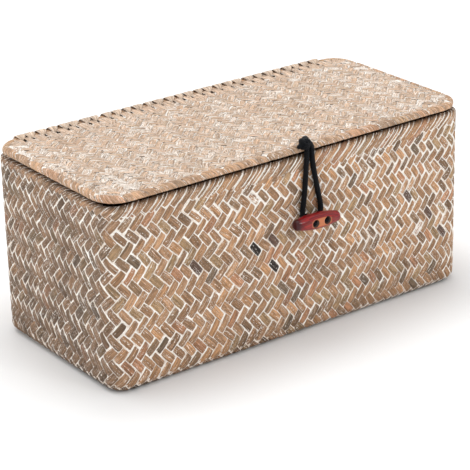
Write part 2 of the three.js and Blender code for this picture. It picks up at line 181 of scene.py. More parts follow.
def on_shell(outline, wall, inside=False):
    """The map from (arc length round, arc length up, lift off the surface) to points on a shell. On
    the inside of a wall it runs round the other way, so that the three stay right-handed."""
    def place(s, v, lift):
        out, height, way_out, way_up = (
            np.interp(v, wall["length"], wall[key]) for key in ("out", "height", "way_out", "way_up"))
        lift = -lift if inside else lift
        x, y = around(outline, -s if inside else s, out + lift * way_out)
        return np.stack([x, y, height + lift * way_up], axis=-1)
    return place


def pull_inside(outline, x, y, inset):
    """Points kept at least an inset inside an outline: each keeps its nearest place on the core
    rectangle, and its distance from there is cut to the radius less the inset."""
    core_x = np.clip(x, outline["core_x"].min(), outline["core_x"].max())
    core_y = np.clip(y, outline["core_y"].min(), outline["core_y"].max())
    reach = np.maximum(np.hypot(x - core_x, y - core_y), 1e-6)
    short = np.minimum(1, (outline["radius"] - inset) / reach)
    return core_x + (x - core_x) * short, core_y + (y - core_y) * short


def on_sheet(outline, height, inset, underside=False, back_stop=np.inf):
    """The map from (x, y, lift) to points on a level sheet inside an outline, seen from above, or
    from below with y turned round. No point goes past back_stop."""
    way = -1 if underside else 1
    def place(s, v, lift):
        x, y = pull_inside(outline, s, way * v, inset)
        return np.stack([x, np.minimum(y, back_stop), height + way * lift], axis=-1)
    return place


def lay_leaves(place, s, v, slant, length=float_length, width=float_width, tint=(), wash=(0.0, 0.02),
               crown=float_crown, along=5, across=3, sink=ground_sunk, bow=0, dive=0.85):
    """Domed leaf strips as closed tiles. With p along the strip and q across it, both from -1 to 1, a
    point lies p half lengths and q half widths from the strip's middle, turned by the slant, with the
    width a little less by p², and its lift is the crown's less 0.3 q² of it and less dive p⁴ of it. A
    skirt goes down below the ground. A tint may be what leaf_tints takes after the count, and a wash
    the least and the most that chance adds."""
    count = len(s)
    if isinstance(tint, tuple):
        tint = leaf_tints(count, *tint)
    if isinstance(wash, tuple):
        wash = wash[0] + wash[1] * chance.random(count)
    p, q = np.meshgrid(np.linspace(-1, 1, along), np.linspace(-1, 1, across), indexing="ij")
    number = np.arange(along * across).reshape(along, across)
    edge = np.concatenate([number[:, 0], number[-1, 1:], number[-2::-1, -1], number[0, -2:0:-1]])
    p, q = (np.concatenate([grid.ravel(), grid.ravel()[edge]]) for grid in (p, q))
    top = np.arange(p.size) < along * across
    length, width, slant, crown = (np.broadcast_to(value, (count,))[:, None]
                                   for value in (length, width, slant, crown))
    run, reach = p * length / 2, q * (1 - float_waist * p ** 2) * width / 2
    rise = crown * (1 - 0.3 * q ** 2 - dive * p ** 4) - sink
    lift = np.where(top, rise, -sink - 0.25)
    points = place(s[:, None] + run * np.cos(slant) - reach * np.sin(slant) + bow * (p ** 2 - 1),
                   v[:, None] + run * np.sin(slant) + reach * np.cos(slant), lift)
    foot = along * across + np.arange(len(edge))
    corners = [number[:-1, :-1], number[1:, :-1], number[1:, 1:], number[:-1, 1:]]
    skirt = [edge, foot, np.roll(foot, -1), np.roll(edge, -1)]
    quads = np.concatenate([np.stack(corners, axis=-1).reshape(-1, 4), np.stack(skirt, axis=-1)])
    seed = chance.random(count)[:, None] * np.ones(p.size)
    return {
        "points": points,
        "quads": quads,
        "cap": foot[::-1],
        "strip": np.stack([(p + 1) / 2 * length, (q + 1) / 2 * width], axis=-1),
        "span": np.stack([length + 0 * p, width + 0 * p, seed], axis=-1),
        "tint": np.concatenate([tint, wash[:, None]], axis=1)[:, None, :] * np.ones((p.size, 1)),
    }


def new_piece(name, points, faces, material, smooth=True):
    """A mesh piece from points in millimetres and faces as rows of point numbers."""
    mesh = bpy.data.meshes.new(name)
    mesh.from_pydata((np.asarray(points) * metre).tolist(), [], faces)
    mesh.polygons.foreach_set("use_smooth", np.full(len(mesh.polygons), smooth))
    mesh.materials.append(material)
    mesh.update()
    piece = bpy.data.objects.new(name, mesh)
    bpy.context.collection.objects.link(piece)
    return piece


def uv_marks(piece, name, places):
    """Gives each point of a piece its place on a flat map."""
    mesh = piece.data
    corner = np.empty(len(mesh.loops), int)
    mesh.loops.foreach_get("vertex_index", corner)
    mesh.uv_layers.new(name=name).data.foreach_set("uv", places[corner].ravel())


def strip_marks(piece, strip, span, tint):
    """Gives each point of a piece its place on its strip in millimetres, the strip's length, width and
    own number, and its tint with the amount of wash on it."""
    uv_marks(piece, "strip", strip)
    marks = piece.data.attributes
    marks.new("span", "FLOAT_VECTOR", "POINT").data.foreach_set("vector", span.ravel())
    marks.new("tint", "FLOAT_COLOR", "POINT").data.foreach_set("color", tint.ravel())


def leaf_piece(name, batches, material):
    """One piece of many leaf tiles, with their marks."""
    faces, first = [], 0
    for batch in batches:
        count, size = batch["points"].shape[:2]
        offset = first + size * np.arange(count)[:, None]
        faces += (offset[:, :, None] + batch["quads"][None]).reshape(-1, 4).tolist()
        faces += (offset + batch["cap"][None]).tolist()
        first += count * size
    points, *marks = (np.concatenate([batch[key].reshape(-1, batch[key].shape[-1]) for batch in batches])
                      for key in ("points", "strip", "span", "tint"))
    piece = new_piece(name, points, faces, material)
    strip_marks(piece, *marks)
    return piece


class Level:
    """A value that a material works out at each point. Sums of levels, or of levels and numbers, are
    written as usual, and each makes a node."""

    def __init__(self, tree, socket):
        self.tree = tree
        self.socket = socket

    def maths(self, operation, *others):
        return node(self.tree, "Math", dict(enumerate((self, *others))), operation=operation)

    def __add__(self, other):
        return self.maths("ADD", other)

    def __sub__(self, other):
        return self.maths("SUBTRACT", other)

    def __mul__(self, other):
        return self.maths("MULTIPLY", other)


def node(tree, kind, inputs=(), output=0, **settings):
    """Adds a node to a material. Each input is a socket with a number, a colour or a level."""
    made = tree.nodes.new("ShaderNode" + kind)
    for key, value in settings.items():
        setattr(made, key, value)
    for socket, value in dict(inputs).items():
        if isinstance(value, Level):
            tree.links.new(value.socket, made.inputs[socket])
        else:
            made.inputs[socket].default_value = value
    return Level(tree, made.outputs[output])


def parts(place):
    """The x, y and z of a place."""
    outputs = node(place.tree, "SeparateXYZ", {0: place}).socket.node.outputs
    return [Level(place.tree, socket) for socket in outputs]


def vector(x, y, z):
    """A place or a colour from three levels."""
    return node(y.tree, "CombineXYZ", {0: x, 1: y, 2: z})


def distance(x, y):
    """The square root of x² + y²."""
    return (x * x + y * y).maths("SQRT")


def fade(value, low, high, start=0.0, end=1.0):
    """A smooth step from start to end while the value goes from low to high."""
    return node(value.tree, "MapRange", {0: value, 1: low, 2: high, 3: start, 4: end},
                interpolation_type="SMOOTHSTEP")


def mixed(share, first, second, blend="MIX"):
    """A colour that is a share of the way from the first to the second."""
    tree = next(value.tree for value in (share, first, second) if isinstance(value, Level))
    colours = [value if isinstance(value, Level) else (*value, 1) for value in (first, second)]
    return node(tree, "Mix", {0: share, 6: colours[0], 7: colours[1]}, output=2,
                data_type="RGBA", blend_type=blend)


def noise(where, scale, detail=2, rough=0.5):
    """A cloudy level between 0 and 1, with scale clouds to each unit of the place."""
    return node(where.tree, "TexNoise", {"Vector": where, "Scale": scale, "Detail": detail,
                                         "Roughness": rough})


def new_finish(name, roughness, more=()):
    """A material, its nodes and its shader, with the shader's own sockets set."""
    material = bpy.data.materials.new(name)
    material.use_nodes = True
    shader = material.node_tree.nodes["Principled BSDF"]
    for socket, value in {"Roughness": roughness, **dict(more)}.items():
        shader.inputs[socket].default_value = value
    return material, material.node_tree, shader


def dress(shader, colour, height=None, depth=0.0, strength=1.0):
    """Gives a shader its colour, and relief from a height, with its depth in metres."""
    links = colour.tree.links
    links.new(colour.socket, shader.inputs["Base Color"])
    if height:
        relief = {"Height": height, "Distance": depth, "Strength": strength}
        links.new(node(colour.tree, "Bump", relief).socket, shader.inputs["Normal"])


wash_white = linear(253, 248, 241)
wash_shade = linear(222, 204, 186)


def leaf_finish(name, line=0.09, spread=0.7, flecks=0.75, film_white=0.85, bare=0.0, corner=0.0,
                painted_gap_shade=0.0):
    """Leaf with white wash on it. Fibres and a few splits run along the strip. The wash lies in lines
    along its edges, in some of the splits and in patches, more of each where the tint's alpha is
    higher. The line is the least half width of the edge lines and the spread what alpha adds to it.
    A higher bare leaves fewer splits and patches white. Corner rounds the brown blocks, more where
    alpha is higher. The last argument paints shade into some of the gaps along the edges, as dark
    slivers, fewer the higher it is above 0."""
    material, tree, shader = new_finish(name, 0.8, {"Specular IOR Level": 0.3})
    along, across, _ = parts(node(tree, "UVMap", uv_map="strip"))
    length, width, seed = parts(node(tree, "Attribute", output=1, attribute_name="span"))
    tone, wash = (node(tree, "Attribute", output=place, attribute_name="tint") for place in (0, 3))
    number = seed * 90.0

    def stretched(share, scale, detail, rough=0.5):
        """Noise that runs along the strip: there its scale is only a share of that across."""
        return noise(vector(along * share, across, number), scale, detail, rough)

    fibres = stretched(0.10, 1.45, 3, 0.7)
    cords = stretched(0.05, 0.6, 1)
    splits = stretched(0.035, 0.8, 1)
    patches = stretched(0.45, flecks, 3, 0.6)
    ragged = stretched(0.6, 1.3, 2)
    end_gap = along.maths("MINIMUM", length - along)
    side_gap = across.maths("MINIMUM", width - across)
    nearest = end_gap.maths("SMOOTH_MIN", side_gap, wash * (9 * corner) + corner)
    gap = nearest + (ragged * 0.8 - 0.4)
    edge = fade(gap - (wash * spread + line), -0.05, 0.1, 1.0, 0.0)
    off_split = (splits - 0.5).maths("ABSOLUTE")
    split = fade(off_split, 0.012, 0.026, 1.0, 0.0) * fade(ragged, 0.46 + bare, 0.54 + bare)
    grain = fade(fibres, 0.36, 0.64, 0.62, 1.28) * fade(cords, 0.3, 0.7, 0.8, 1.16)
    leaf = mixed(1.0, tone, vector(grain, grain, grain), "MULTIPLY")
    cover = fibres * 0.6 + patches * 0.6 + wash
    film = fade(cover - (1.05 + 0.5 * bare), 0.0, 0.1, 0.0, film_white)
    white = edge.maths("MAXIMUM", film).maths("MAXIMUM", split * 0.9)
    washed = mixed(white, leaf, mixed(fade(fibres, 0.3, 0.55), wash_shade, wash_white))
    # Painted shade: dark slivers in some of the gaps along the edges.
    if painted_gap_shade:
        gap_shade_spots = fade(stretched(0.3, 1.1, 2), 0.5 + painted_gap_shade, 0.54 + painted_gap_shade)
        washed = mixed(fade(nearest, 0.1, 0.3, 1.0, 0.0) * gap_shade_spots, washed, linear(70, 54, 42))
    dress(shader, washed, fibres, 0.0003, 0.7)
    return material


def ground_finish(name, pale, shade):
    """The under layer in the gaps: wash, caught unevenly on the strips below, with painted shade low down.
    """
    material, tree, shader = new_finish(name, 0.85)
    place = node(tree, "TexCoord", output=3)
    clots = noise(place, 260, 3)
    uneven = clots * 0.6 + noise(place, 34, 2) * 0.4
    # Painted shade: the gaps darken towards the floor, below 14 mm.
    low = fade(parts(place)[2], 0.002, 0.014, 0.55, 0.0)
    dress(shader, mixed(fade(uneven, 0.56, 0.38) + low, pale, shade), clots, 0.0004, 0.8)
    return material


leaf_tones = np.array([linear(*tone) for tone in (
    (173, 134, 101), (159, 122, 91), (182, 138, 100), (147, 117, 90), (163, 132, 98),
    (129, 101, 77), (178, 130, 97), (119, 99, 80))])
tone_shares = [0.28, 0.24, 0.14, 0.12, 0.08, 0.06, 0.05, 0.03]


def leaf_tints(count, towards=(1, 1, 1), share=0.0, spread=0.1):
    """Tints picked from the leaf's tones, moved a share of the way towards one colour."""
    tints = leaf_tones[chance.choice(len(leaf_tones), count, p=tone_shares)]
    tints = tints * (1 + spread * chance.standard_normal((count, 1)))
    return np.clip(tints * (1 - share) + np.asarray(towards) * share, 0.01, 1)


def twill(columns, low, high):
    """Middles of the floats of an over-two, under-two plait. Strips that lean right cross those that
    lean left at x = (i + j) cell / 2 and z = (j - i) cell / 2, and lie on top where j - i is 0 or 1
    past a multiple of 4; the others lie on top where it is 2 or 3. Returns x, z and the lean."""
    rows = np.arange(math.floor(low / (2 * cell)) - 1, math.ceil(high / (2 * cell)) + 1)
    step, column = (grid.ravel() for grid in np.meshgrid(rows, np.arange(columns), indexing="ij"))
    x = np.concatenate([column + 2 * step + 0.25, column - 2 * step - 1.25]) * cell
    z = np.concatenate([2 * step + 0.25, 2 * step + 1.25]) * cell
    lean = np.repeat([math.pi / 4, -math.pi / 4], len(step))
    keep = (z >= low) & (z <= high)
    return x[keep], z[keep], lean[keep]


body_outline = rounded(box_length, box_width, body_corner)
body_round = body_outline["marks"][-1]
wall_zero = math.pi * foot_bend / 2 + bottom_reach - foot_bend - (foot_bend + foot_rise)
body_wall = section(
    (-bottom_reach, foot_rise),
    arc(-foot_bend, foot_rise + foot_bend, foot_bend, -90, 0),
    np.stack([np.zeros(13), np.linspace(foot_bend + foot_rise, rim_height - rim_roll, 13)], axis=1),
    arc(-rim_roll, rim_height - rim_roll, rim_roll, 0, 180, 16),
    (-fold_in, rim_height - rim_roll - fold_lean),
    (-fold_in, fold_foot),
    zero=wall_zero,
)
body_place = on_shell(body_outline, body_wall)

drift_waves = chance.uniform(0, 2 * math.pi, (2, 5))
drift_turns = np.array([5, 9, 12, 17, 22])
drift_climbs = np.array([0.03, -0.05, 0.08, 0.06, -0.11])


def drifted(s, v):
    """Where the even plait's places come to lie on the body. Its columns get wider and narrower by the
    slope of 7.5 sin(2 turn - 0.3). Its rows get taller towards the foot, and where the columns are
    wide. Both drift by a few waves that close on themselves round the box."""
    turn = 2 * math.pi * s / (body_columns * cell)
    coarse = np.cos(2 * turn - 0.3)
    waves = [sum(np.sin(k * turn + climb * v + phase) for k, climb, phase
                 in zip(drift_turns, drift_climbs, phases)) * 0.3 for phases in drift_waves]
    below = band_foot - v
    return (turn * body_round / (2 * math.pi) + 7.5 * np.sin(2 * turn - 0.3) + waves[0],
            band_foot - below * (1.03 + 0.0003 * below) * (1 + 0.04 * coarse)
            + waves[1] * np.clip(below / 20, 0, 1))


def uneven_body(s, v, lift):
    """The body's shell at the places where the even plait's come to lie."""
    return body_place(*drifted(s, v), lift)


def band_foot_at(s):
    """Height of the rim band's lower edge at arc lengths round the body."""
    where, foot = np.transpose(band_feet)
    return np.interp(s, where, foot, period=body_round)


def from_mark(s, mark):
    """How far arc lengths round the body lie past a mark, the shorter way round."""
    return np.mod(s - mark + body_round / 2, body_round) - body_round / 2


def side_of(s):
    """1 where an arc length round the body is on its left end, fading to 0 round the corners."""
    marks = body_outline["marks"]
    return np.interp(np.mod(s, body_round), marks[5:9], [0, 1, 1, 0])


def body_floats():
    """The walls' floats. There is more wash towards the top, on the right of the front, in a few
    patches and smears, and low on the near left corner, which is worn. The left end is greyer and
    darker, which is painted shade, and has little wash. The foot is darker, most of all on its rounded
    edge, where shade is painted in, and single floats are dark or brown."""
    s, v, lean = twill(body_columns, -18, band_foot + 10)
    here_s, here_v = drifted(s, v)
    side = side_of(here_s)
    foot = band_foot_at(here_s)
    keep = (here_v > -8.5) & (here_v < foot + 3 - 1.2 * side)
    s, v, lean, here_s, here_v, side, foot = (row[keep] for row in (s, v, lean, here_s, here_v, side, foot))
    count = len(s)
    here_s = np.mod(here_s, body_round)
    height = np.clip(here_v / band_foot, 0, 1)
    top_row = (here_v > foot - 9) * (lean < 0)
    smear = 0.5 + 0.5 * np.sin(0.021 * here_s + 0.7) * np.cos(0.045 * here_v - 0.4)
    right = np.clip((here_s - 120) / 150, 0, 1) * (here_s < 300)
    wash = 0.09 * height + 0.2 * right * height + 0.22 * smear * height * chance.random(count)
    wash += 0.26 * (chance.random(count) > 0.965) + 0.1 * top_row * chance.random(count)
    worn = np.exp(-(from_mark(here_s, -6) / 15) ** 2) * np.exp(-((here_v - 38) / 26) ** 2)
    wash = wash * (1 - 0.7 * side) - 0.08 * side + 0.3 * side * top_row + 0.32 * worn * chance.random(count)
    wash -= 0.1 * np.clip(1 - here_v / 24, 0, 1)
    caught = 0.36 * (0.5 + 0.5 * chance.random(count))
    for smear_s, smear_v, reach in smears:
        wash += caught * np.exp(-(from_mark(here_s, smear_s) ** 2 + (here_v - smear_v) ** 2) / reach ** 2)
    # Painted shade: the left end's tints are greyed and darkened.
    tint = leaf_tints(count, linear(126, 108, 94), 0.45 * side[:, None]) * (1.04 - 0.24 * side)[:, None]
    # Darker towards the foot, with painted shade on the rounded foot below 7 mm.
    tint *= (1 - 0.15 * (1 - height) ** 2 - 0.35 * np.clip(1 - here_v / 7, 0, 1))[:, None]
    crown = np.where(here_v > foot - 2, 0.4, float_crown)
    slim = np.where(chance.random(count) > 0.94, 0.82, 1) * chance.normal(1, 0.03, count)
    short = chance.normal(1, 0.03, count)
    for spots, colour, share in ((dark_floats, linear(52, 44, 39), 0.94),
                                 (brown_floats, linear(104, 82, 70), 1)):
        for spot_s, spot_v in spots:
            nearest = np.argmin((here_s - spot_s) ** 2 + (here_v - spot_v) ** 2 + 1000 * (lean > 0))
            tint[nearest], wash[nearest], crown[nearest] = colour, 0.08, 0.5
            slim[nearest], short[nearest] = share, share
    return lay_leaves(uneven_body, s + chance.normal(0, 0.18, count), v + chance.normal(0, 0.18, count),
                      lean + chance.normal(0, 0.035, count), float_length * short, float_width * slim,
                      tint, wash, crown)


def rim_band():
    """Long strips that lean right, up from the last floats, over the rim's roll and down inside. Some
    are split into two. On the roll, under the lid's edge, shade is painted into them: they are darkened
    and have no wash."""
    top = body_wall["length"][-1] - 1.2
    s = (np.arange(body_columns) + 0.25) * body_round / body_columns
    whole = chance.random(body_columns) > 0.2
    apart = body_round / body_columns / 4
    s = np.concatenate([s[whole], s[~whole] - apart, s[~whole] + apart])
    width = band_width * np.where(np.arange(len(s)) < whole.sum(), 1, 0.5)
    side = side_of(s)
    count = len(s)
    foot = band_foot_at(s) - chance.uniform(0, 2.5, count) * (1 - 0.5 * side)
    middle, length = (foot + top) / 2, (top - foot) / math.sin(band_lean)
    wash = (0.15 + 0.32 * chance.random(count) ** 2) * (1 - side) - 0.15 * side
    batch = lay_leaves(body_place, s, middle, band_lean, length, width * chance.normal(1, 0.05, count),
                       (linear(160, 128, 102), 0.25 + 0.3 * side[:, None]), wash, crown=0.6, along=25,
                       dive=0.3, bow=-1.6, sink=ground_sunk - 0.1)
    # Painted shade: where the strips pass over the roll they are darkened and lose their wash.
    lid_shade = np.clip(batch["points"][..., 2:] - rim_height + 1.6, 0, 1)
    batch["tint"][..., :3] *= 1 - rim_painted_shade * lid_shade
    batch["tint"][..., 3:] *= 1 - lid_shade
    return batch


def sheet_floats(outline, inset, columns=44, stretch=(1, 1), turned=False):
    """Places and leans of the floats of a level sheet as far out as an inset from its outline, on the
    even plait, which is stretched by two factors along X and Y, and may be turned a quarter."""
    reach = box_length / stretch[0] if turned else box_width / stretch[1]
    x, y, lean = twill(columns, -reach / 2, reach / 2)
    x = x % (columns * cell) - columns * cell / 2
    if turned:
        x, y, lean = y, x, math.pi / 2 - lean
    here_x, here_y = x * stretch[0], y * stretch[1]
    kept_x, kept_y = pull_inside(outline, here_x, here_y, inset)
    keep = np.hypot(kept_x - here_x, kept_y - here_y) < 0.1
    return x[keep], y[keep], lean[keep]


def plain_sheet(outline, middles_in, height, inset, underside=False, **look):
    """Even floats of a level sheet. Their middles keep middles_in inside the outline, their points
    the inset."""
    x, y, lean = sheet_floats(outline, middles_in)
    place = on_sheet(outline, height, inset, underside)
    return lay_leaves(place, x, -y if underside else y, lean, along=3, **look)


def ring_faces(count, size, hooped=False):
    """Faces of a skin of rings: quads between neighbours, and a flat lid on the first and the last
    unless those are joined as well, into a hoop."""
    number = np.arange(count * size).reshape(count, size)
    following = np.roll(number, -1, axis=0) if hooped else number[1:]
    start = number if hooped else number[:-1]
    faces = np.stack([start, np.roll(start, -1, axis=1), np.roll(following, -1, axis=1), following],
                     axis=-1).reshape(-1, 4).tolist()
    return faces if hooped else faces + [number[0][::-1].tolist(), number[-1].tolist()]


def swept_piece(name, outline, points, material, hooped=False, back_stop=np.inf):
    """A section's points carried round an outline, each as a ring. No point goes past back_stop."""
    marks = outline["marks"]
    corners = [np.linspace(marks[k], marks[k + 1], corner_steps + 1) for k in (1, 3, 5, 7)]
    s = np.append(np.concatenate(corners)[:-1], marks[-1] - 1e-6)
    out, height = np.transpose(np.asarray(points, float))[..., None]
    x, y = around(outline, s[None, :], out)
    rings = np.stack([x, np.minimum(y, back_stop), np.broadcast_to(height, x.shape)], axis=-1)
    return new_piece(name, rings.reshape(-1, 3), ring_faces(*rings.shape[:2], hooped), material)


body_ground_section = np.concatenate([
    arc(-foot_bend, foot_bend + foot_rise, foot_bend - ground_sunk, -90, 0, 6),
    arc(-rim_roll, rim_height - rim_roll, rim_roll - ground_sunk, 0, 180, 10),
    [(-fold_in + ground_sunk, rim_height - rim_roll - fold_lean), (-fold_in + ground_sunk, fold_foot)],
    [(-leaf_sheet * 2.6, fold_foot), (-leaf_sheet * 2.6, rim_height - rim_roll - fold_lean - 1)],
    arc(-rim_roll, rim_height - rim_roll, rim_roll - leaf_sheet - 0.2, 170, 0, 8),
    arc(-foot_bend, foot_bend + foot_rise, foot_bend - leaf_sheet, 0, -90, 6),
])

plait_finish = leaf_finish("washed leaf", line=0.16, spread=1.15, bare=0.045, corner=0.5)
plait_ground = ground_finish("rubbed-in wash", wash_white, wash_shade)
body_plait = leaf_piece("body_plait", [
    body_floats(),
    rim_band(),
    plain_sheet(body_outline, 9, foot_rise + 0.2, 8, underside=True, wash=(0.1, 0.2)),
], plait_finish)
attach(body_plait, "box")
body_ground = swept_piece("body_ground", body_outline, body_ground_section, plait_ground)
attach(body_ground, "box")
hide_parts("body_weave")


# Cane hoops. A split cane is bent round inside the rim's roll, and a second in the lid's. The leaf
# folded over each of them keeps it there.

cane_finish, tree, shader = new_finish("split cane", 0.5)
cane_grain = noise(node(tree, "TexCoord", output=3), 190, 3)
cane_colour = mixed(fade(cane_grain, 0.35, 0.65), linear(196, 158, 112), linear(150, 112, 76))
dress(shader, cane_colour, cane_grain, 0.0002)
for hoop in ("rim_rod", "lid_rod"):
    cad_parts[hoop].data.materials.clear()
    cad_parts[hoop].data.materials.append(cane_finish)


# Lining. A second basket of the same leaf, left bare, stands inside the shell with its edge under
# the rim's fold.

lining_in = 3.1
lining_bend = 3.9
lining_top = 118
lining_outer = 1.7

lining_wall = section(
    (-bottom_reach, lining_in),
    arc(-foot_bend, foot_bend, lining_bend, -90, 0, 8),
    (-lining_in, lining_top),
    zero=math.pi * lining_bend / 2 + bottom_reach - foot_bend - foot_bend,
)
lining_place = on_shell(body_outline, lining_wall, inside=True)


def lining_walls():
    """The lining's wall floats. Arc length on the even plait is multiplied until its last column meets
    its first."""
    def pressed(s, v, lift):
        return lining_place(s * body_round / (body_columns * cell), v, lift)
    return lay_leaves(pressed, *twill(body_columns, 4.5, lining_top - 2), along=3)


lining_finish = leaf_finish("bare leaf", line=-0.6)
lining_ground_finish = ground_finish("bare under layer", linear(126, 98, 74), linear(92, 70, 52))
lining_plait = leaf_piece("lining_plait", [lining_walls(), plain_sheet(body_outline, 9, lining_in, 7.5)],
                          lining_finish)
lining_ground = swept_piece("lining_ground", body_outline, np.concatenate([
    arc(-foot_bend, foot_bend, foot_bend - lining_outer, -90, 0, 6),
    [(-lining_outer, lining_top + 6), (-lining_in + ground_sunk, lining_top + 6)],
    arc(-foot_bend, foot_bend, lining_bend + ground_sunk, 0, -90, 6),
]), lining_ground_finish)
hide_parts("body_lining")
for piece in (lining_plait, lining_ground):
    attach(piece, "box")


# Lid. Its plait is rolled round the second hoop and tucked back underneath. The top is washed until
# little of the brown shows, and the roll is left nearly bare. Along the back the roll is free of the
# sheet but for the leaf ends between the slots, so that the lacing can go round it.

lid_corner = 18
lid_top = 136.6
lid_sheet = 1.4
lid_roll = 3.15
lid_roll_height = 133.45
lid_fold_height = 131.8
lid_fold_in = 15.1
lid_back_stop = 57.8
lid_stretch = (0.8, 0.777)
roll_side = 0.15
roll_under = 132.4
roll_low_bend = 0.9
roll_high_bend = 2.0
wrap_reach = 4.2
wrap_tuck = 1.4
wrap_spacing = 6.3
wrap_width = 5.9
wrap_lean = math.radians(128)
lace_turns = 30
lace_span = 264
lace_wide = 8.3
lace_narrow = 1.2
lace_thick = 0.6
lace_pitch = lace_span / lace_turns
slot_share = 0.07
slot_width = 2.6

lace_shift = chance.normal(0, 0.7, lace_turns)

lid_outline = rounded(box_length, box_width, lid_corner)
lid_marks = lid_outline["marks"]
lid_tint = linear(214, 186, 162)


def lid_floats():
    """The top's floats, which drift about a millimetre by two sines each way, with a little more wash
    towards both ends."""
    x, y, lean = sheet_floats(lid_outline, 1.5, 24, lid_stretch, turned=True)
    keep = y * lid_stretch[1] < lid_back_stop - 1
    x, y, lean = x[keep], y[keep], lean[keep]
    place = on_sheet(lid_outline, lid_top, 3.9, back_stop=lid_back_stop)

    def drifting(s, v, lift):
        s, v = s * lid_stretch[0], v * lid_stretch[1]
        return place(s + 0.8 * np.sin(0.05 * v + 0.021 * s) + 0.4 * np.sin(0.13 * s + 1),
                     v + 0.7 * np.sin(0.043 * s + 2) + 0.4 * np.sin(0.11 * v + 0.08 * s), lift)

    count = len(x)
    tint = leaf_tints(count, lid_tint, 0.64)
    ends = np.clip(np.abs(x * lid_stretch[0]) / 60 - 1.7, 0, 1)
    return lay_leaves(drifting, x + chance.normal(0, 0.25, count), y + chance.normal(0, 0.25, count),
                      lean + chance.normal(0, 0.07, count), float_length * chance.normal(1, 0.03, count),
                      float_width * chance.normal(1, 0.04, count), tint,
                      0.28 + 0.2 * chance.random(count) + 0.07 * ends, crown=0.48, dive=0.6)


def roll_wraps():
    """Slanting strips from under the lid, round the roll, which is pressed square, to where they dive
    under the sheet. Some are wide and some narrow."""
    high = lid_top - roll_high_bend
    wall = section(
        (-lid_fold_in, lid_fold_height),
        arc(-roll_side - roll_low_bend, roll_under + roll_low_bend, roll_low_bend, -90, 0, 6),
        np.stack([np.full(5, -roll_side), np.linspace(roll_under + roll_low_bend, high, 5)], axis=1),
        arc(-roll_side - roll_high_bend, high, roll_high_bend, 0, 90, 8),
        (-wrap_reach, lid_top), (-wrap_reach - wrap_tuck, lid_top - wrap_tuck / 2),
    )
    span = chance.uniform(0.55, 1.9, 60) * 8.5
    ends = np.concatenate([[0], np.cumsum(span)])
    ends *= lid_marks[8] / ends[-1]
    s, width = (ends[1:] + ends[:-1]) / 2, np.diff(ends) * math.sin(wrap_lean)
    front = (s < lid_marks[3] + 4) | (s > lid_marks[6] - 4)
    s, width = s[front], width[front]
    reach = wall["length"][-1] - chance.uniform(0, 0.4, len(s))
    return lay_leaves(on_shell(lid_outline, wall), s, reach / 2, wrap_lean, reach / math.sin(wrap_lean),
                      width + 0.1, (linear(202, 166, 136), 0.5), (0.08, 0.14), crown=0.4, along=31,
                      across=9, dive=0.1, sink=ground_sunk - 0.1)


def back_strips(wall, tint, wash, **shape):
    """Slanting strips side by side along the back, from end to end of a section."""
    s = np.arange(lid_marks[3], lid_marks[6], wrap_spacing)
    reach = wall["length"][-1]
    return lay_leaves(on_shell(lid_outline, wall), s, np.full(len(s), reach / 2), wrap_lean,
                      reach / math.sin(wrap_lean), wrap_width, tint, wash, **shape)


def back_webs():
    """Leaf ends carried from the sheet on to the roll, above and below, between the lacing's slots,
    and on without slots round the corners."""
    slots = -lace_span / 2 + lace_pitch * (np.arange(-3, lace_turns + 4) + slot_share)
    slots += np.pad(lace_shift, (3, 4))
    x = (slots[1:] + slots[:-1]) / 2
    laced = (slots[1:] > -lace_span / 2) & (slots[:-1] < lace_span / 2)
    width = np.diff(slots) - slot_width * chance.uniform(0.5, 1.1, len(x)) * laced
    s = x - lid_marks[4] - (box_length / 2 - lid_corner)
    batches = []
    for height, angles in ((lid_top, (90, 20)), (lid_fold_height - 0.2, (-100, -20))):
        wall = section((-box_width / 2 + lid_back_stop - 7, height),
                       arc(-lid_roll, lid_roll_height, lid_roll, *angles, 10))
        below = height < lid_roll_height
        batches.append(lay_leaves(
            on_shell(lid_outline, wall, inside=not below), -s if below else s,
            np.full(len(s), 7), math.pi / 2, 13.6, width, (lid_tint, 0.8), (0.1, 0.15), crown=0.5,
            along=11, dive=0.2))
    return batches


whole_roll = section(arc(-lid_roll, lid_roll_height, lid_roll, -172, 172, 28))
fold_tail = section((-lid_fold_in, lid_fold_height), (-box_width / 2 + lid_back_stop, lid_fold_height))
lid_leaf = leaf_finish("lid leaf", line=-0.08, spread=0.6, flecks=1.3, film_white=0.9, painted_gap_shade=0.04)
lid_plait = leaf_piece("lid_plait", [
    lid_floats(),
    roll_wraps(),
    back_strips(whole_roll, (linear(208, 170, 134), 0.6), (0.1, 0.2), crown=0.4, along=29, across=5,
                dive=0.1),
    *back_webs(),
    back_strips(fold_tail, (linear(190, 156, 124), 0.5), (0.0, 0.1)),
], lid_leaf)
lid_ground = swept_piece("lid_ground", lid_outline,
                         [(-3.4, lid_top - lid_sheet), (-3.4, lid_top - ground_sunk)], plait_ground,
                         back_stop=lid_back_stop)
lid_core = swept_piece("lid_roll", lid_outline, np.concatenate([
    [(-wrap_reach, roll_under + ground_sunk)],
    arc(-roll_side - roll_low_bend, roll_under + roll_low_bend, roll_low_bend - ground_sunk, -90, 0, 4),
    arc(-roll_side - roll_high_bend, lid_top - roll_high_bend, roll_high_bend - ground_sunk, 0, 90, 5),
    [(-wrap_reach, lid_top - ground_sunk - 0.1)],
]), plait_ground, hooped=True)
lid_tail = swept_piece("lid_fold", lid_outline, [
    (-4.2, lid_fold_height + ground_sunk), (-4.2, lid_fold_height + lid_sheet),
    (-lid_fold_in, lid_fold_height + lid_sheet), (-lid_fold_in, lid_fold_height + ground_sunk),
], lining_ground_finish, hooped=True, back_stop=lid_back_stop)
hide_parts("lid_weave")
for piece in (lid_plait, lid_ground, lid_core, lid_tail):
    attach(piece, "lid")


# Lid lining. An under plait of bare leaf, laid against the lid's sheet from below and held at its
# edge by the tucked fold.

lid_lining_foot = 133.5
lid_lining_in = 9.8


